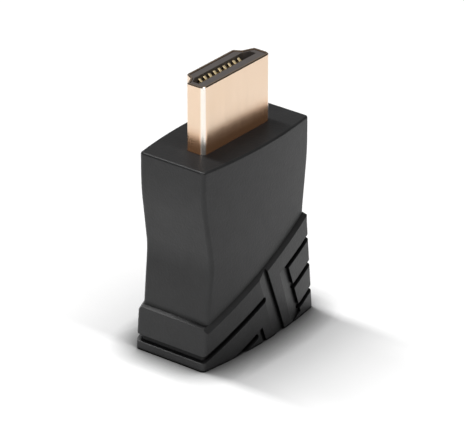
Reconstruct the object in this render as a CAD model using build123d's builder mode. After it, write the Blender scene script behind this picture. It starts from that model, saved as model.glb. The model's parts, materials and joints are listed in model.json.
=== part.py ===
from build123d import *
from math import atan2, cos, radians, sin, sqrt, tan
import os

os.makedirs("parts", exist_ok=True)

# Straight digital video adapter: a plug on top, a socket underneath, one moulded body.
# X runs across the wide face, -Y is the front, +Z points out of the plug.
# The origin is the middle of the base, on which the adapter stands.

# Moulded body
body_height = 28.0
top_half_width = 10.95
waist_half_width = 9.55
base_half_width = 11.2
waist_height = 14.2
shoulder_height = 23.2
shoulder_blend = 2.0
waist_blend = 1.4
edge_half_depth = 5.17
bow_rise = 0.9
corner_radius = 0.55
top_edge_radius = 0.3

# Raised tread round the lower half of the body
rib_proud = 0.52
rib_shoulder = 0.6
rib_corner_radius = 0.6
groove_width = 0.9
tread_tilt = 21.5
left_crest_tilt = 22.5
right_crest_tilt = 23.8
vertex_x = 0.3
vertex_z = 10.6
arm_width = 3.3
band_width = 4.0
strip_width = 3.9
rib_pitch = 3.85
spine_width = 1.7
toe_spine = 1.5
left_ramp = 1.9
strip_ramp = 1.5
toe_ramp = 0.8
ramp_floor = 0.15
shoulder_sink = 0.04
ramp_overlap = 0.4
crest_overlap = 0.3
cut_margin = 3.0
foot_chamfer = 0.25

# Connector outline shared by the plug and the socket
plug_width = 13.9
plug_thickness = 4.45
plug_side_depth = 2.65
plug_step_in = 1.65
plug_step_depth = 0.75
plug_back_half_width = 4.7
plug_front_radius = 0.75
plug_side_radius = 0.35
plug_back_radius = 0.45
connector_setback = 0.2
tongue_shift = 0.1

# Plug
plug_exposed = 9.4
plug_inside = 9.6
plug_shell_wall = 0.3
plug_mouth_chamfer = 0.12
insulator_recess = 0.15
slot_width = 11.8
slot_height = 1.5
slot_depth = 9.0
slot_corner_wall = 0.15
carrier_length = 5.6

# Contacts
contact_pitch = 1.0
wide_contact_count = 10
narrow_contact_count = 9
contact_width = 0.45
contact_thickness = 0.2
contact_groove_width = 0.55
contact_groove_depth = 0.5
contact_tip_recess = 1.0
contact_tip_gap = 0.15
contact_bump_recess = 2.1
contact_bump_reach = 0.35
contact_hinge_recess = 10.0
jog_start = 0.4
jog_length = 1.2
pad_overlap = 2.2

# Socket
socket_recess = 0.15
socket_length = 11.0
socket_play = 0.05
socket_shell_wall = 0.3
socket_block_length = 3.3
tongue_width = 11.1
tongue_thickness = 0.8
tongue_corner = 0.2
tongue_recess = 1.1
socket_strip_thickness = 0.15
socket_strip_proud = 0.05
socket_strip_recess = 0.4
socket_jog_start = 0.8
socket_jog_length = 1.0
finger_width = 1.6
finger_length = 6.0
finger_gap = 0.4
finger_spacing = 6.0
finger_reach = 0.25
finger_rim = 1.0
finger_bend = 1.5
mouth_chamfer = 0.25

# Board and shields between the two connectors
board_thickness = 1.0
board_inset = 0.65
board_end_gap = 0.1
shield_wall = 0.25
shield_overlap = 0.9
fit_gap = 0.05
split_gap = 0.04

# Heights worked out from the sizes above
plug_tip = body_height + plug_exposed
plug_root = body_height - plug_inside
socket_mouth = socket_recess
socket_end = socket_mouth + socket_length
board_bottom = socket_end + board_end_gap
board_top = plug_root - board_end_gap
shield_bottom = socket_end - shield_overlap
shield_top = plug_root + shield_overlap
tongue_y = connector_setback + tongue_shift
board_half_width = plug_width / 2 - board_inset
socket_grow = socket_play + socket_shell_wall
shield_grow = socket_grow + fit_gap + shield_wall
bow_radius = (top_half_width**2 + bow_rise**2) / (2 * bow_rise)
bow_centre = edge_half_depth + bow_rise - bow_radius

# The narrow sides turn at the waist and at the shoulder, each turn blended over a length
flare_lean = atan2(base_half_width - waist_half_width, waist_height)
taper_lean = atan2(top_half_width - waist_half_width, shoulder_height - waist_height)
shoulder_room = body_height - shoulder_height - top_edge_radius
waist_blend_radius = waist_blend / tan((flare_lean + taper_lean) / 2)
shoulder_blend_radius = min(shoulder_blend, shoulder_room) / tan(abs(taper_lean) / 2)


def face_depth(x, proud=0.0):
    """Distance of the bowed front face from the middle plane, at a place across the width."""
    return bow_centre + sqrt((bow_radius + proud) ** 2 - x**2)


# Waisted block with bowed front and back


def waisted_block(proud, height, upright_radius):
    """The body's own form, grown outwards by a distance and cut off at a height."""
    reach = base_half_width + proud + cut_margin
    with BuildPart() as block:
        with BuildSketch():
            with BuildLine():
                front_left = (-reach, -face_depth(reach, proud))
                front_right = (reach, -face_depth(reach, proud))
                back_left = (-reach, face_depth(reach, proud))
                back_right = (reach, face_depth(reach, proud))
                ThreePointArc(front_left, (0, -face_depth(0, proud)), front_right)
                Line(front_right, back_right)
                ThreePointArc(back_right, (0, face_depth(0, proud)), back_left)
                Line(back_left, front_left)
            make_face()
        extrude(amount=body_height)
        with BuildSketch(Plane.XZ):
            with BuildLine():
                Polyline(
                    (0, 0),
                    (base_half_width + proud, 0),
                    (waist_half_width + proud, waist_height),
                    (top_half_width + proud, shoulder_height),
                    (top_half_width + proud, body_height),
                    (0, body_height),
                )
                mirror(about=Plane.YZ)
            make_face()
            corners = vertices().filter_by_position(Axis.Y, 1.0, body_height - 1.0)
            waist = corners.filter_by_position(Axis.Y, waist_height - 1, waist_height + 1)
            fillet(waist, waist_blend_radius)
            shoulders = vertices().filter_by(lambda v: abs(v.Y - shoulder_height) < 0.01)
            fillet(shoulders, shoulder_blend_radius)
        extrude(amount=reach, both=True, mode=Mode.INTERSECT)
        uprights = edges().filter_by(
            lambda e: abs(e.center().Y) > edge_half_depth - 1
            and e.bounding_box().size.Z > 0.2
            and abs(e.center().X) > 1
        )
        fillet(uprights, upright_radius)
        if height < body_height:
            split(bisect_by=Plane.XY.offset(height), keep=Keep.BOTTOM)
    return block.part


# Tread, drawn on the wide face: bands run up to the right at the tread's tilt,
# and the strip between the left bands and the right ribs runs down square to them


def tread_point(across, down):
    """Place on the wide face, measured from the vertex along the bands and square to them."""
    lean = radians(tread_tilt)
    x = vertex_x + across * cos(lean) + down * sin(lean)
    z = vertex_z + across * sin(lean) - down * cos(lean)
    return (x, z)


def line_height(x, down, tilt=tread_tilt):
    """Height at a place across the width of a line that lies below the vertex's own."""
    return vertex_z + (x - vertex_x) * tan(radians(tilt)) - down / cos(radians(tread_tilt))


def sloped_cut(start, end, run, floor):
    """Wedge that lowers the ribs to a floor above the body along a line, over a run beside it."""
    middle = ((start[0] + end[0]) / 2, (start[1] + end[1]) / 2)
    skin = [(x, -face_depth(x) - floor, z) for x, z in (start, middle, end)]
    clear = 2 * rib_proud - floor
    with BuildPart() as wedge:
        with BuildLine() as path:
            ThreePointArc(*skin)
        with BuildSketch(Plane(origin=skin[0], x_dir=(0, -1, 0), z_dir=path.line % 0)):
            with BuildLine():
                slope = run / (rib_proud - floor)
                Polyline((0, 0), (clear, 0), (clear, clear * slope), close=True)
            make_face()
        sweep(path=path.line)
    return wedge.part


tread_reach = base_half_width + cut_margin
left_crest = line_height(-tread_reach, 0, left_crest_tilt)
right_crest = line_height(tread_reach, 0, right_crest_tilt)
band_groove_end = -spine_width - groove_width / 2
toe_band_down = band_width + rib_pitch
toe_groove_end = -rib_pitch - toe_spine
strip_bottom = (vertex_z + rib_proud) / cos(radians(tread_tilt))
inner_downs = [arm_width + i * rib_pitch for i in range(3)]

# The right crest starts a little left of the vertex and the left one ends a little past it
right_start_x = vertex_x - ramp_overlap
right_start = (right_start_x, line_height(right_start_x, 0, right_crest_tilt))
left_end_x = vertex_x + crest_overlap
left_end = (left_end_x, line_height(left_end_x, 0, left_crest_tilt))

slopes = [
    sloped_cut((-tread_reach, left_crest), left_end, rib_shoulder, -shoulder_sink),
    sloped_cut(right_start, (tread_reach, right_crest), rib_shoulder, -shoulder_sink),
    sloped_cut(
        tread_point(0, -ramp_overlap), tread_point(0, strip_bottom), left_ramp, ramp_floor
    ),
    sloped_cut(
        tread_point(strip_width, arm_width - groove_width / 2),
        tread_point(strip_width, strip_bottom),
        strip_ramp,
        ramp_floor,
    ),
    sloped_cut(
        tread_point(-rib_pitch, toe_band_down - groove_width / 2),
        tread_point(-rib_pitch, strip_bottom),
        toe_ramp,
        ramp_floor,
    ),
]

plain_body = waisted_block(0.0, body_height, corner_radius)
tread_blank = waisted_block(rib_proud, waist_height + cut_margin, rib_corner_radius)

# Slope on the right narrow side, from the body down to the top rib's face
side_crest_z = line_height(waist_half_width, 0, right_crest_tilt)
side_slope = [
    (waist_half_width - rib_proud, side_crest_z + rib_shoulder),
    (waist_half_width + 2 * rib_proud, side_crest_z - 2 * rib_shoulder),
    (waist_half_width + 2 * rib_proud, side_crest_z + 2 * rib_shoulder),
]

with BuildPart() as tread:
    add(tread_blank)
    chamfer(edges().group_by(Axis.Z)[0], foot_chamfer)
    with BuildSketch(Plane.XZ):
        with BuildLine():
            Polyline(
                (-tread_reach, left_crest),
                (vertex_x, vertex_z),
                (tread_reach, right_crest),
                (tread_reach, -1),
                (-tread_reach, -1),
                close=True,
            )
        make_face()
        # Grooves of the left bands, closed before the spine that joins the bands
        for down, end in ((band_width, band_groove_end), (toe_band_down, toe_groove_end)):
            with Locations(tread_point(end - tread_reach / 2, down)):
                SlotCenterToCenter(
                    tread_reach, groove_width, rotation=tread_tilt, mode=Mode.SUBTRACT
                )
        # Grooves between the right ribs, open at the narrow side
        for down in inner_downs:
            with Locations(tread_point(strip_width + tread_reach / 2, down)):
                SlotCenterToCenter(
                    tread_reach, groove_width, rotation=tread_tilt, mode=Mode.SUBTRACT
                )
        with BuildLine():
            Polyline(*side_slope, close=True)
        make_face(mode=Mode.SUBTRACT)
    extrude(amount=tread_reach, both=True, mode=Mode.INTERSECT)
    for slope in slopes:
        add(slope, mode=Mode.SUBTRACT)
        add(slope.mirror(Plane.XZ), mode=Mode.SUBTRACT)


# Outlines shared by the plug, the socket and what is fitted round them


def connector_outline(grow):
    """Wide front, straight sides, one step in and a narrower back, grown by a distance."""
    front = -plug_thickness / 2
    back = plug_thickness / 2
    side_end = front + plug_side_depth
    half_width = plug_width / 2
    with BuildSketch() as outline:
        with BuildLine():
            Polyline(
                (0, front),
                (half_width, front),
                (half_width, side_end),
                (half_width - plug_step_in, side_end + plug_step_depth),
                (plug_back_half_width, back),
                (0, back),
            )
            mirror(about=Plane.YZ)
        make_face()
        corners = vertices().group_by(Axis.Y)
        fillet(corners[0], plug_front_radius)
        corners = vertices().filter_by(lambda v: abs(v.Y - side_end) < 0.01)
        fillet(corners, plug_side_radius)
        corners = vertices().filter_by(lambda v: abs(v.Y - back) < 0.01)
        fillet(corners, plug_back_radius)
        corners = vertices().filter_by(lambda v: abs(v.Y - side_end - plug_step_depth) < 0.01)
        fillet(corners, plug_back_radius)
        offset(amount=grow)
    return outline.sketch.moved(Location((0, connector_setback)))


plug_face = connector_outline(0)
plug_bore_face = connector_outline(-plug_shell_wall)
insulator_face = connector_outline(-plug_shell_wall - fit_gap)
plug_clear_face = connector_outline(fit_gap)
socket_bore_face = connector_outline(socket_play)
socket_block_face = connector_outline(socket_play - fit_gap)
socket_face = connector_outline(socket_grow)
socket_clear_face = connector_outline(socket_grow + fit_gap)
socket_mouth_face = connector_outline(socket_grow + fit_gap + mouth_chamfer)
shield_face = connector_outline(shield_grow)
shield_clear_face = connector_outline(shield_grow + fit_gap)


def contact_places(count):
    """Places across the width of one row of contacts."""
    return [(i - (count - 1) / 2) * contact_pitch for i in range(count)]


# Row name, side of the tongue (-1 is the wide front) and places across the width
contact_rows = [
    ("wide", -1, contact_places(wide_contact_count)),
    ("narrow", 1, contact_places(narrow_contact_count)),
]

# Outer body

with BuildPart() as outer_body:
    add(plain_body)
    fillet(edges().group_by(Axis.Z)[-1], top_edge_radius)
    add(tread.part)
    with BuildSketch():
        add(socket_clear_face)
    extrude(amount=socket_end, mode=Mode.SUBTRACT)
    with BuildSketch():
        add(socket_mouth_face)
    extrude(amount=mouth_chamfer, taper=45, mode=Mode.SUBTRACT)
    with BuildSketch(Plane.XY.offset(shield_bottom - fit_gap)):
        add(shield_clear_face)
    extrude(amount=shield_top - shield_bottom + 2 * fit_gap, mode=Mode.SUBTRACT)
    with BuildSketch(Plane.XY.offset(plug_root)):
        add(plug_clear_face)
    extrude(amount=body_height, mode=Mode.SUBTRACT)
outer_body.part.label = "outer_body"
export_step(outer_body.part, "parts/outer_body.step")

# Plug shell

with BuildPart() as plug_shell:
    with BuildSketch(Plane.XY.offset(plug_root)):
        add(plug_face)
    extrude(amount=plug_tip - plug_root)
    chamfer(edges().group_by(Axis.Z)[-1], plug_mouth_chamfer)
    with BuildSketch(Plane.XY.offset(plug_root)):
        add(plug_bore_face)
    extrude(amount=plug_tip - plug_root, mode=Mode.SUBTRACT)
plug_shell.part.label = "plug_shell"
export_step(plug_shell.part, "parts/plug_shell.step")

# Plug insulator, slotted for the socket's tongue and grooved for the contacts

insulator_top = plug_tip - insulator_recess
carrier_bottom = plug_root
carrier_top = carrier_bottom + carrier_length
slot_wall = slot_height / 2
groove_floor = slot_wall + contact_groove_depth
groove_reach = groove_floor - board_thickness / 2
groove_middle = (groove_floor + board_thickness / 2) / 2
groove_top = plug_tip - contact_tip_recess + contact_tip_gap
slot_limit_face = connector_outline(-plug_shell_wall - fit_gap - slot_corner_wall)

with BuildPart() as plug_insulator:
    with BuildSketch(Plane.XY.offset(carrier_top)):
        add(insulator_face)
    extrude(amount=insulator_top - carrier_top)
    with BuildSketch(Plane.XY.offset(plug_tip - slot_depth)):
        with Locations((0, tongue_y)):
            Rectangle(slot_width, slot_height)
        add(slot_limit_face, mode=Mode.INTERSECT)
    extrude(amount=slot_depth, mode=Mode.SUBTRACT)
    with BuildSketch(Plane.XY.offset(carrier_top)):
        for row, side, places in contact_rows:
            with Locations([(x, tongue_y + side * groove_middle) for x in places]):
                Rectangle(contact_groove_width, groove_reach)
    extrude(amount=groove_top - carrier_top, mode=Mode.SUBTRACT)
plug_insulator.part.label = "plug_insulator"
export_step(plug_insulator.part, "parts/plug_insulator.step")

# Carrier behind the insulator, through which the contacts reach the board

with BuildPart() as plug_carrier:
    with BuildSketch(Plane.XY.offset(carrier_bottom)):
        add(insulator_face)
        for row, side, places in contact_rows:
            with Locations([(x, tongue_y + side * groove_middle) for x in places]):
                Rectangle(contact_groove_width, groove_reach, mode=Mode.SUBTRACT)
    extrude(amount=carrier_length)
plug_carrier.part.label = "plug_carrier"
export_step(plug_carrier.part, "parts/plug_carrier.step")


def strip(route, thickness, x):
    """Flat contact, bent along a route of (distance from the middle plane, height)."""
    with BuildPart() as contact:
        with BuildSketch(Plane.YZ.offset(x - contact_width / 2)):
            with BuildLine():
                middle_line = Polyline(*route)
                offset(middle_line, amount=thickness / 2, kind=Kind.INTERSECTION)
            make_face()
        extrude(amount=contact_width)
        # Both ends are cut off square
        for end, inner in ((route[0], route[1]), (route[-1], route[-2])):
            inward = (0, inner[0] - end[0], inner[1] - end[1])
            split(bisect_by=Plane(origin=(x, *end), z_dir=inward), keep=Keep.TOP)
    return contact.part


# Plug contacts: a tail on the board, a jog out to the groove, a sprung arm with its bump

plug_pad = board_thickness / 2 + contact_thickness / 2
plug_arm = groove_floor - fit_gap - contact_thickness / 2
bump = slot_wall - contact_bump_reach + contact_thickness / 2
tip_back = slot_wall - contact_thickness / 2

for row, side, places in contact_rows:
    route = [
        (tongue_y + side * plug_pad, board_top - pad_overlap),
        (tongue_y + side * plug_pad, carrier_bottom + jog_start),
        (tongue_y + side * plug_arm, carrier_bottom + jog_start + jog_length),
        (tongue_y + side * plug_arm, plug_tip - contact_hinge_recess),
        (tongue_y + side * bump, plug_tip - contact_bump_recess),
        (tongue_y + side * tip_back, plug_tip - contact_tip_recess),
    ]
    for number, x in enumerate(places, start=1):
        plug_contact = strip(route, contact_thickness, x)
        name = f"plug_contact_{row}_{number:02d}"
        plug_contact.label = name
        export_step(plug_contact, f"parts/{name}.step")

# Socket shell with two sprung fingers on its wide side

finger_places = [-finger_spacing / 2, finger_spacing / 2]
shell_front = connector_setback - plug_thickness / 2 - socket_play
finger_tip = socket_mouth + finger_rim + finger_gap
finger_root = finger_tip + finger_length
finger_fold = finger_tip + finger_bend

with BuildPart() as socket_shell:
    with BuildSketch(Plane.XY.offset(socket_mouth)):
        add(socket_face)
        add(socket_bore_face, mode=Mode.SUBTRACT)
    extrude(amount=socket_length)
    with BuildSketch(Plane.XZ.offset(-shell_front)):
        with Locations([(x, finger_root) for x in finger_places]):
            Rectangle(
                finger_width + 2 * finger_gap,
                finger_length + finger_gap,
                align=(Align.CENTER, Align.MAX),
            )
    extrude(amount=socket_shell_wall, mode=Mode.SUBTRACT)
    for x in finger_places:
        with BuildSketch(Plane.YZ.offset(x - finger_width / 2)):
            with BuildLine():
                Polyline(
                    (shell_front - socket_shell_wall, finger_root),
                    (shell_front, finger_root),
                    (shell_front + finger_reach, finger_fold),
                    (shell_front, finger_tip),
                    (shell_front - socket_shell_wall, finger_tip),
                    (shell_front + finger_reach - socket_shell_wall, finger_fold),
                    close=True,
                )
            make_face()
        extrude(amount=finger_width)
socket_shell.part.label = "socket_shell"
export_step(socket_shell.part, "parts/socket_shell.step")

# Socket insulator: a block across the shell and the tongue that stands in the socket

block_bottom = socket_end - socket_block_length
tongue_tip = socket_mouth + tongue_recess
strip_inner = tongue_thickness / 2 - (socket_strip_thickness - socket_strip_proud)
strip_outer = board_thickness / 2 + socket_strip_thickness + fit_gap
strip_middle = (strip_inner + strip_outer) / 2

with BuildPart() as socket_insulator:
    with BuildSketch(Plane.XY.offset(block_bottom)):
        add(socket_block_face)
    extrude(amount=socket_block_length)
    with BuildSketch(Plane.XY.offset(tongue_tip)):
        with Locations((0, tongue_y)):
            RectangleRounded(tongue_width, tongue_thickness, tongue_corner)
    extrude(amount=block_bottom - tongue_tip)
    with BuildSketch(Plane.XY.offset(tongue_tip + socket_strip_recess - fit_gap)):
        for row, side, places in contact_rows:
            with Locations([(x, tongue_y + side * strip_middle) for x in places]):
                Rectangle(contact_groove_width, strip_outer - strip_inner)
    extrude(amount=socket_length, mode=Mode.SUBTRACT)
socket_insulator.part.label = "socket_insulator"
export_step(socket_insulator.part, "parts/socket_insulator.step")

# Socket contacts: flush on the tongue, then a small jog out to the board's pads

strip_line = strip_inner + socket_strip_thickness / 2
pad_line = board_thickness / 2 + socket_strip_thickness / 2

for row, side, places in contact_rows:
    route = [
        (tongue_y + side * strip_line, tongue_tip + socket_strip_recess),
        (tongue_y + side * strip_line, block_bottom + socket_jog_start),
        (tongue_y + side * pad_line, block_bottom + socket_jog_start + socket_jog_length),
        (tongue_y + side * pad_line, board_bottom + pad_overlap),
    ]
    for number, x in enumerate(places, start=1):
        socket_contact = strip(route, socket_strip_thickness, x)
        name = f"socket_contact_{row}_{number:02d}"
        socket_contact.label = name
        export_step(socket_contact, f"parts/{name}.step")

# Circuit board that joins the two rows of tails

with BuildPart() as circuit_board:
    with BuildSketch(Plane.XY.offset(board_bottom)):
        with Locations((0, tongue_y)):
            Rectangle(2 * board_half_width, board_thickness)
    extrude(amount=board_top - board_bottom)
circuit_board.part.label = "circuit_board"
export_step(circuit_board.part, "parts/circuit_board.step")

# Tin shield round the board, in two halves that meet in the tongue's middle plane

with BuildPart() as shield_whole:
    with BuildSketch(Plane.XY.offset(shield_bottom)):
        add(shield_face)
        add(socket_clear_face, mode=Mode.SUBTRACT)
    extrude(amount=shield_top - shield_bottom)
    with BuildSketch(Plane.XY.offset(shield_top - shield_wall)):
        add(shield_face)
        add(plug_clear_face, mode=Mode.SUBTRACT)
    extrude(amount=shield_wall)

for name, keep, split_y in (
    ("shield_front", Keep.TOP, tongue_y - split_gap / 2),
    ("shield_back", Keep.BOTTOM, tongue_y + split_gap / 2),
):
    with BuildPart() as shield:
        add(shield_whole.part)
        split(bisect_by=Plane.XZ.offset(-split_y), keep=keep)
    shield.part.label = name
    export_step(shield.part, f"parts/{name}.step")
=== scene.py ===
import json
import math

import bpy
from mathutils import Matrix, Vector


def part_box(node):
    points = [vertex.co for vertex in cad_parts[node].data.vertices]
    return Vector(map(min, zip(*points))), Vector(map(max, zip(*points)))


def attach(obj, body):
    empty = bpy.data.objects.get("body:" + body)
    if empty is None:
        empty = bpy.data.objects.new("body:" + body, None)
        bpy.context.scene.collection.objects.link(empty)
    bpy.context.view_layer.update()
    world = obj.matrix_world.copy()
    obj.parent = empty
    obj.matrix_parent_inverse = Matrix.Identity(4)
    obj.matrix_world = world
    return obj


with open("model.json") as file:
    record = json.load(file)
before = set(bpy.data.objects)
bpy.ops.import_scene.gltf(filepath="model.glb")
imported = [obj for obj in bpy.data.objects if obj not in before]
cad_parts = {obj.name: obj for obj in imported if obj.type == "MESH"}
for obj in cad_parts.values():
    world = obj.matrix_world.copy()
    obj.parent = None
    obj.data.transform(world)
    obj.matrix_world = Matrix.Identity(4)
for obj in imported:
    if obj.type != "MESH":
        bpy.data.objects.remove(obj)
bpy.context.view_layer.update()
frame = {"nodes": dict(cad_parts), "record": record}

MM = 0.001
WHITE = (1, 1, 1, 1)

# Camera, placed so that the aim point falls on its place in the photograph
PHOTO_WIDTH = 464
PHOTO_HEIGHT = 439
CAMERA_AZIMUTH = -52.15
CAMERA_ELEVATION = 26.6
CAMERA_DISTANCE = 560 * MM
PIXELS_PER_METRE = 7780
SENSOR_WIDTH = 36
CLIP_START = 0.01
CLIP_END = 20
AIM_POINT = Vector((0, -0.09 * MM, 20 * MM))
AIM_PIXEL = (225.45, 189.7)

# Floor
FLOOR_REACH = 240 * MM
FLOOR_SIDES = 96
FLOOR_GAP = 0.01 * MM
FLOOR_DIFFUSE = (0.78, 0.78, 0.78, 1)
FLOOR_ROUGHNESS = 0.9
# Painted contact shade: an occlusion mask darkens the floor's seen colour round the object's foot
CONTACT_REACH = 5 * MM
CONTACT_DEPTH = 3
CONTACT_SHADE = (0.01, 0.01, 0.01, 1)

# Lamps: two strips overhead and a weak one beside the narrow side
STRIP_DISTANCE = 600 * MM
STRIP_WIDTH = 40 * MM
STRIP_LENGTH = 280 * MM
STRIP_TILT = 20
FRONT_POWER = 1.1
BACK_POWER = 2.25
SIDE_DISTANCE = 500 * MM
SIDE_AZIMUTH = -85
SIDE_ELEVATION = 10
SIDE_SIZE = 150 * MM
SIDE_POWER = 0.5

# The room: its plain light, and what gloss mirrors, a lit backdrop behind the object
WORLD_LIGHT = (0.2, 0.2, 0.2, 1)
BACKDROP_DIRECTION = (0.79, 0.61, 0)
BACKDROP_EDGE = 0.35
BACKDROP_FULL = 0.95
ROOM_DARK = (0.012, 0.012, 0.012, 1)
BACKDROP_LIGHT = (0.17, 0.17, 0.17, 1)

# Finishes: a noise is its scale and detail, a roughness its lowest and highest value
OCCLUSION_SAMPLES = 16

BODY_BLACK = (0.0155, 0.0155, 0.016, 1)
BODY_BLACK_WORN = (0.0255, 0.0255, 0.026, 1)
BODY_TONE = (350, 3)
BODY_GLOSS = (900, 4)
BODY_ROUGHNESS = (0.38, 0.48)
BODY_GRAIN = (3200, 3)
BODY_RELIEF = 0.03 * MM
BODY_IOR = 1.43
# Painted shade in creases: an occlusion mask darkens the colour and lowers the shine there
CREASE_REACH = 0.8 * MM
CREASE_DEPTH = 5
CREASE_PAINTED_SHADE = (0.005, 0.005, 0.005, 1)
CREASE_SHINE = 0.12
OPEN_SHINE = 0.5

SHELL_GOLD = (0.86, 0.68, 0.53, 1)
SHELL_GOLD_WARM = (0.82, 0.62, 0.45, 1)
SHELL_TONE = (220, 2)
SHELL_LINES = (900, 3)
LINE_STRETCH = (1, 1, 0.06)
SHELL_ROUGHNESS = (0.2, 0.3)
SHELL_RELIEF = 0.002 * MM
# Painted reflection: the shell turns orange-brown and less metallic at its foot, standing in for
# the dark body's reflection there
FOOT_PAINTED_REFLECTION = (0.98, 0.5, 0.25, 1)
FOOT_REFLECTION_START = 28 * MM
FOOT_REFLECTION_END = 32 * MM
FOOT_METALLIC = 0.78
# Painted highlight: a paler colour on the shell's rounded corners
CORNER_PAINTED_HIGHLIGHT = (1.0, 0.93, 0.85, 1)
HIGHLIGHT_START = 8.36 * MM
HIGHLIGHT_END = 8.5 * MM

CONTACT_GOLD = (1.0, 0.85, 0.55, 1)
CONTACT_GOLD_DEEP = (0.95, 0.74, 0.4, 1)
CONTACT_TONE = (1500, 2)
CONTACT_GLOSS = (4000, 2)
CONTACT_ROUGHNESS = (0.42, 0.55)
CONTACT_METALLIC = 0.75

INSULATOR = (0.07, 0.062, 0.058, 1)
INSULATOR_WORN = (0.1, 0.086, 0.08, 1)
INSULATOR_TONE = (900, 3)
INSULATOR_GLOSS = (2500, 3)
INSULATOR_ROUGHNESS = (0.45, 0.6)
INSULATOR_GRAIN = (9000, 2)
INSULATOR_RELIEF = 0.003 * MM

BOARD_GREEN = (0.01, 0.09, 0.035, 1)
BOARD_GREEN_LIGHT = (0.014, 0.11, 0.045, 1)
WEAVE_SCALE = 2500
BOARD_GLOSS = (1200, 2)
BOARD_ROUGHNESS = (0.3, 0.45)

TIN = (0.55, 0.55, 0.54, 1)
TIN_BRIGHT = (0.68, 0.68, 0.66, 1)
TIN_MOTTLE = (500, 4)
TIN_ROUGHNESS = (0.28, 0.45)

# Bent noses of the plug's contacts, which close each contact's leading end
WIDE_CONTACTS = 10
NARROW_CONTACTS = 9
SLOT_MIDDLE = 0.3 * MM
NOSE_OUT = 0.49 * MM
NOSE_HEIGHT = 36.66 * MM
NOSE_SIZE = (0.42 * MM, 0.16 * MM, 0.62 * MM)
NOSE_LEAN = 50
NOSE_ROUND = 0.07 * MM
NOSE_SEGMENTS = 3
SMOOTH_ANGLE = 50


def direction(azimuth, elevation):
    """Unit vector from the object towards a viewing angle, with azimuth 0 at -Y."""
    azimuth = math.radians(azimuth)
    elevation = math.radians(elevation)
    return Vector((
        math.sin(azimuth) * math.cos(elevation),
        -math.cos(azimuth) * math.cos(elevation),
        math.sin(elevation),
    ))


def aim(thing, towards):
    """Turns a camera or a lamp so that it looks along a vector."""
    thing.rotation_mode = "QUATERNION"
    thing.rotation_quaternion = towards.to_track_quat("-Z", "Y")


def place_camera():
    """Photograph's viewing angle, with the aim point on its own pixel."""
    turn = math.radians(CAMERA_AZIMUTH)
    right = Vector((math.cos(turn), math.sin(turn), 0))
    back = direction(CAMERA_AZIMUTH, CAMERA_ELEVATION)
    up = back.cross(right)
    across = (AIM_PIXEL[0] - PHOTO_WIDTH / 2) / PIXELS_PER_METRE
    above = (PHOTO_HEIGHT / 2 - AIM_PIXEL[1]) / PIXELS_PER_METRE
    camera = bpy.data.objects.new("camera", bpy.data.cameras.new("camera"))
    bpy.context.scene.collection.objects.link(camera)
    camera.location = AIM_POINT + back * CAMERA_DISTANCE - right * across - up * above
    aim(camera, -back)
    camera.data.sensor_width = SENSOR_WIDTH
    camera.data.lens = PIXELS_PER_METRE * CAMERA_DISTANCE * SENSOR_WIDTH / PHOTO_WIDTH
    camera.data.clip_start = CLIP_START
    camera.data.clip_end = CLIP_END
    bpy.context.scene.camera = camera


def feed(tree, source, target):
    """Links a socket to an input, or sets the input to a constant."""
    if isinstance(source, bpy.types.NodeSocket):
        tree.links.new(source, target)
    else:
        target.default_value = source


def calculate(tree, operation, *values):
    """Result of a sum on sockets and constants."""
    step = tree.nodes.new("ShaderNodeMath")
    step.operation = operation
    for index, value in enumerate(values):
        feed(tree, value, step.inputs[index])
    return step.outputs[0]


def mix_color(tree, factor, first, second):
    """Colour between two others, each a socket or a constant."""
    mix = tree.nodes.new("ShaderNodeMix")
    mix.data_type = "RGBA"
    feed(tree, first, mix.inputs["A"])
    feed(tree, second, mix.inputs["B"])
    tree.links.new(factor, mix.inputs["Factor"])
    return mix.outputs["Result"]


def spread(tree, factor, low, high):
    """Value between two numbers, by a factor from 0 to 1."""
    span = tree.nodes.new("ShaderNodeMapRange")
    span.inputs["To Min"].default_value = low
    span.inputs["To Max"].default_value = high
    tree.links.new(factor, span.inputs["Value"])
    return span.outputs["Result"]


def ease(tree, value, start, end):
    """0 up to the start, 1 from the end on, and smooth between them."""
    step = tree.nodes.new("ShaderNodeMapRange")
    step.interpolation_type = "SMOOTHSTEP"
    step.inputs["From Min"].default_value = start
    step.inputs["From Max"].default_value = end
    tree.links.new(value, step.inputs["Value"])
    return step.outputs["Result"]


def openness(tree, reach, depth, only_local):
    """Occlusion mask for painted shade: 1 on open faces, falling towards 0 in creases and at
    contacts.
    """
    cavity = tree.nodes.new("ShaderNodeAmbientOcclusion")
    cavity.only_local = only_local
    cavity.samples = OCCLUSION_SAMPLES
    cavity.inputs["Distance"].default_value = reach
    return calculate(tree, "POWER", cavity.outputs["AO"], depth)


def noise(tree, grain, stretch=(1, 1, 1)):
    """Noise on the piece's own coordinates, so many grains to the metre."""
    scale, detail = grain
    place = tree.nodes.new("ShaderNodeTexCoord")
    mapping = tree.nodes.new("ShaderNodeMapping")
    mapping.inputs["Scale"].default_value = stretch
    texture = tree.nodes.new("ShaderNodeTexNoise")
    texture.inputs["Scale"].default_value = scale
    texture.inputs["Detail"].default_value = detail
    tree.links.new(place.outputs["Object"], mapping.inputs["Vector"])
    tree.links.new(mapping.outputs["Vector"], texture.inputs["Vector"])
    return texture.outputs["Fac"]


def new_material(name):
    """New material, with its node tree and its shader."""
    material = bpy.data.materials.new(name)
    material.use_nodes = True
    tree = material.node_tree
    shader = tree.nodes["Principled BSDF"]
    return material, tree, shader


def set_roughness(tree, shader, factor, roughness):
    """Roughness that wanders between two values."""
    tree.links.new(spread(tree, factor, *roughness), shader.inputs["Roughness"])


def add_relief(tree, shader, factor, height):
    """Relief of a real height in metres."""
    bump = tree.nodes.new("ShaderNodeBump")
    bump.inputs["Distance"].default_value = height
    tree.links.new(factor, bump.inputs["Height"])
    tree.links.new(bump.outputs["Normal"], shader.inputs["Normal"])


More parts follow.
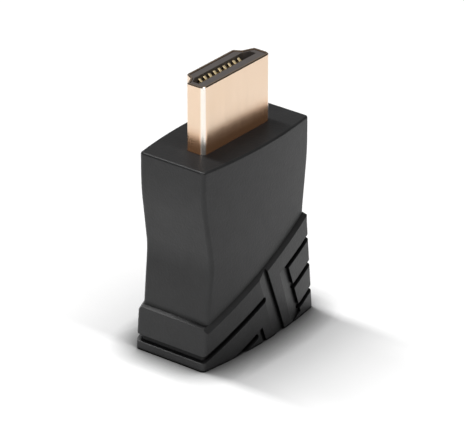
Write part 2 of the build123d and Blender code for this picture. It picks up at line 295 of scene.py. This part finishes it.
def seen_ray(tree):
    """1 for rays from the camera and for those of gloss and clear pieces, else 0."""
    rays = tree.nodes.new("ShaderNodeLightPath").outputs
    glossy = calculate(tree, "MAXIMUM", rays["Is Camera Ray"], rays["Is Glossy Ray"])
    return calculate(tree, "MAXIMUM", glossy, rays["Is Transmission Ray"])


def floor_material():
    """Pale floor that looks white to the camera, keeps the shadows, and has painted shade
    darkening it at the contact.
    """
    material, tree, shader = new_material("pale_floor")
    # Painted shade: occlusion mask that darkens the seen floor colour round the object's foot
    free = openness(tree, CONTACT_REACH, CONTACT_DEPTH, only_local=False)
    seen = mix_color(tree, free, CONTACT_SHADE, WHITE)
    color = mix_color(tree, seen_ray(tree), FLOOR_DIFFUSE, seen)
    tree.links.new(color, shader.inputs["Base Color"])
    shader.inputs["Roughness"].default_value = FLOOR_ROUGHNESS
    shader.inputs["Specular IOR Level"].default_value = 0
    return material


def add_floor():
    """Round floor just under the object."""
    bpy.ops.object.select_all(action="DESELECT")
    bpy.ops.mesh.primitive_circle_add(
        vertices=FLOOR_SIDES, radius=FLOOR_REACH, fill_type="NGON", location=(0, 0, -FLOOR_GAP)
    )
    floor = bpy.context.object
    floor.name = "floor"
    floor.data.materials.append(floor_material())


def light_world():
    """White to the camera, a lit backdrop in a dark room to gloss, and plain light else."""
    world = bpy.data.worlds.new("studio")
    bpy.context.scene.world = world
    world.use_nodes = True
    tree = world.node_tree
    background = tree.nodes["Background"]
    place = tree.nodes.new("ShaderNodeTexCoord")
    backdrop = tree.nodes.new("ShaderNodeVectorMath")
    backdrop.operation = "DOT_PRODUCT"
    backdrop.inputs[1].default_value = BACKDROP_DIRECTION
    tree.links.new(place.outputs["Generated"], backdrop.inputs[0])
    fade = tree.nodes.new("ShaderNodeValToRGB")
    edge, full = fade.color_ramp.elements
    edge.position = BACKDROP_EDGE
    edge.color = ROOM_DARK
    full.position = BACKDROP_FULL
    full.color = BACKDROP_LIGHT
    tree.links.new(backdrop.outputs["Value"], fade.inputs["Fac"])
    rays = tree.nodes.new("ShaderNodeLightPath").outputs
    lit = mix_color(tree, rays["Is Glossy Ray"], WORLD_LIGHT, fade.outputs["Color"])
    seen = mix_color(tree, rays["Is Camera Ray"], lit, WHITE)
    tree.links.new(seen, background.inputs["Color"])
    background.inputs["Strength"].default_value = 1


def new_lamp(name, location, power):
    """Area lamp, still to be turned and sized."""
    lamp = bpy.data.objects.new(name, bpy.data.lights.new(name, "AREA"))
    bpy.context.scene.collection.objects.link(lamp)
    lamp.location = location
    lamp.data.energy = power
    return lamp


def add_strip_lamp(name, tilt, power):
    """Strip lamp over the object, narrow along X, tilted from straight above towards +Y."""
    turn = math.radians(tilt)
    location = (0, STRIP_DISTANCE * math.sin(turn), STRIP_DISTANCE * math.cos(turn))
    lamp = new_lamp(name, location, power)
    lamp.rotation_euler = (-turn, 0, 0)
    lamp.data.shape = "RECTANGLE"
    lamp.data.size = STRIP_WIDTH
    lamp.data.size_y = STRIP_LENGTH


def add_side_lamp():
    """Low soft lamp towards -X, which lightens the narrow side."""
    towards = direction(SIDE_AZIMUTH, SIDE_ELEVATION)
    lamp = new_lamp("side_lamp", AIM_POINT + towards * SIDE_DISTANCE, SIDE_POWER)
    aim(lamp, -towards)
    lamp.data.size = SIDE_SIZE


def moulded_black():
    """Satin black moulding with a very fine grain, and painted shade that darkens and dulls its
    creases.
    """
    material, tree, shader = new_material("moulded_black")
    # Painted shade: occlusion mask that darkens the colour and lowers the shine in creases
    free = openness(tree, CREASE_REACH, CREASE_DEPTH, only_local=True)
    tone = mix_color(tree, noise(tree, BODY_TONE), BODY_BLACK, BODY_BLACK_WORN)
    shine = spread(tree, free, CREASE_SHINE, OPEN_SHINE)
    tree.links.new(mix_color(tree, free, CREASE_PAINTED_SHADE, tone), shader.inputs["Base Color"])
    tree.links.new(shine, shader.inputs["Specular IOR Level"])
    set_roughness(tree, shader, noise(tree, BODY_GLOSS), BODY_ROUGHNESS)
    add_relief(tree, shader, noise(tree, BODY_GRAIN), BODY_RELIEF)
    shader.inputs["IOR"].default_value = BODY_IOR
    return material


def shell_gold():
    """Pale gold plating with faint lines along the draw, a painted reflection of the dark body at
    the foot and a painted highlight at the corners.
    """
    material, tree, shader = new_material("shell_gold")
    place = tree.nodes.new("ShaderNodeTexCoord")
    split = tree.nodes.new("ShaderNodeSeparateXYZ")
    tree.links.new(place.outputs["Object"], split.inputs[0])
    # Masks for the painted highlight at the corners and the painted reflection at the foot
    across = calculate(tree, "ABSOLUTE", split.outputs["X"])
    through = calculate(tree, "ABSOLUTE", split.outputs["Y"])
    reach = calculate(tree, "ADD", across, through)
    above_foot = ease(tree, split.outputs["Z"], FOOT_REFLECTION_START, FOOT_REFLECTION_END)
    corner_highlight = ease(tree, reach, HIGHLIGHT_START, HIGHLIGHT_END)
    plating = mix_color(tree, noise(tree, SHELL_TONE), SHELL_GOLD, SHELL_GOLD_WARM)
    # Painted reflection of the dark body: orange-brown colour at the foot
    plating = mix_color(tree, above_foot, FOOT_PAINTED_REFLECTION, plating)
    # Painted highlight: paler colour on the rounded corners
    plating = mix_color(tree, corner_highlight, plating, CORNER_PAINTED_HIGHLIGHT)
    tree.links.new(plating, shader.inputs["Base Color"])
    # Painted reflection: less metallic at the foot
    tree.links.new(spread(tree, above_foot, FOOT_METALLIC, 1), shader.inputs["Metallic"])
    lines = noise(tree, SHELL_LINES, LINE_STRETCH)
    set_roughness(tree, shader, lines, SHELL_ROUGHNESS)
    add_relief(tree, shader, lines, SHELL_RELIEF)
    return material


def contact_gold():
    """Satin gold plating on the contacts."""
    material, tree, shader = new_material("contact_gold")
    tone = mix_color(tree, noise(tree, CONTACT_TONE), CONTACT_GOLD, CONTACT_GOLD_DEEP)
    tree.links.new(tone, shader.inputs["Base Color"])
    set_roughness(tree, shader, noise(tree, CONTACT_GLOSS), CONTACT_ROUGHNESS)
    shader.inputs["Metallic"].default_value = CONTACT_METALLIC
    return material


def insulator_plastic():
    """Dull grey-brown insulator plastic."""
    material, tree, shader = new_material("insulator_plastic")
    tone = mix_color(tree, noise(tree, INSULATOR_TONE), INSULATOR, INSULATOR_WORN)
    tree.links.new(tone, shader.inputs["Base Color"])
    set_roughness(tree, shader, noise(tree, INSULATOR_GLOSS), INSULATOR_ROUGHNESS)
    add_relief(tree, shader, noise(tree, INSULATOR_GRAIN), INSULATOR_RELIEF)
    return material


def board_green():
    """Green board laminate with its woven glass faintly showing."""
    material, tree, shader = new_material("board_green")
    place = tree.nodes.new("ShaderNodeTexCoord")
    weave = tree.nodes.new("ShaderNodeTexChecker")
    weave.inputs["Scale"].default_value = WEAVE_SCALE
    weave.inputs["Color1"].default_value = BOARD_GREEN
    weave.inputs["Color2"].default_value = BOARD_GREEN_LIGHT
    tree.links.new(place.outputs["Object"], weave.inputs["Vector"])
    tree.links.new(weave.outputs["Color"], shader.inputs["Base Color"])
    set_roughness(tree, shader, noise(tree, BOARD_GLOSS), BOARD_ROUGHNESS)
    return material


def tinned_sheet():
    """Plain tinned sheet with a soft mottle."""
    material, tree, shader = new_material("tinned_sheet")
    mottle = noise(tree, TIN_MOTTLE)
    tree.links.new(mix_color(tree, mottle, TIN, TIN_BRIGHT), shader.inputs["Base Color"])
    set_roughness(tree, shader, mottle, TIN_ROUGHNESS)
    shader.inputs["Metallic"].default_value = 1
    return material


def make_finishes():
    """The finish of each material slot in the record."""
    return {
        "moulded_body": moulded_black(),
        "plug_shell_plate": shell_gold(),
        "socket_shell_plate": shell_gold(),
        "contact_plate": contact_gold(),
        "insulator_plastic": insulator_plastic(),
        "board_laminate": board_green(),
        "tinplate": tinned_sheet(),
    }


def dress_nodes(finishes):
    """Each CAD node gets the finish of its slot in the record."""
    for part in frame["record"]["subparts"]:
        materials = frame["nodes"][part["node"]].data.materials
        materials.clear()
        materials.append(finishes[part["material_slot"]])


def add_nose(middle, side):
    """Rounded nose that leans from a contact's leading end to the slot's wall."""
    bpy.ops.object.select_all(action="DESELECT")
    bpy.ops.mesh.primitive_cube_add(
        size=1,
        location=(middle, SLOT_MIDDLE + side * NOSE_OUT, NOSE_HEIGHT),
        rotation=(-side * math.radians(NOSE_LEAN), 0, 0),
    )
    nose = bpy.context.object
    nose.scale = NOSE_SIZE
    bpy.ops.object.transform_apply(location=True, rotation=True, scale=True)
    rounding = nose.modifiers.new("rounding", "BEVEL")
    rounding.width = NOSE_ROUND
    rounding.segments = NOSE_SEGMENTS
    bpy.ops.object.modifier_apply(modifier="rounding")
    return nose


def add_nose_row(name, node_names, side, finish):
    """The noses of a whole row of contacts, as one piece."""
    noses = []
    for node_name in node_names:
        low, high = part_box(node_name)
        noses.append(add_nose((low[0] + high[0]) / 2, side))
    bpy.ops.object.select_all(action="DESELECT")
    for nose in noses:
        nose.select_set(True)
    bpy.context.view_layer.objects.active = noses[0]
    bpy.ops.object.join()
    row = bpy.context.object
    row.name = name
    bpy.ops.object.shade_smooth_by_angle(angle=math.radians(SMOOTH_ANGLE))
    row.data.materials.append(finish)
    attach(row, "root")


place_camera()
add_floor()
light_world()
add_strip_lamp("front_lamp", -STRIP_TILT, FRONT_POWER)
add_strip_lamp("back_lamp", STRIP_TILT, BACK_POWER)
add_side_lamp()
finishes = make_finishes()
dress_nodes(finishes)
wide_row = ["plug_contact_wide_%02d" % (i + 1) for i in range(WIDE_CONTACTS)]
narrow_row = ["plug_contact_narrow_%02d" % (i + 1) for i in range(NARROW_CONTACTS)]
add_nose_row("plug_noses_wide", wide_row, -1, finishes["contact_plate"])
add_nose_row("plug_noses_narrow", narrow_row, 1, finishes["contact_plate"])

bpy.context.scene.view_settings.view_transform = "Standard"
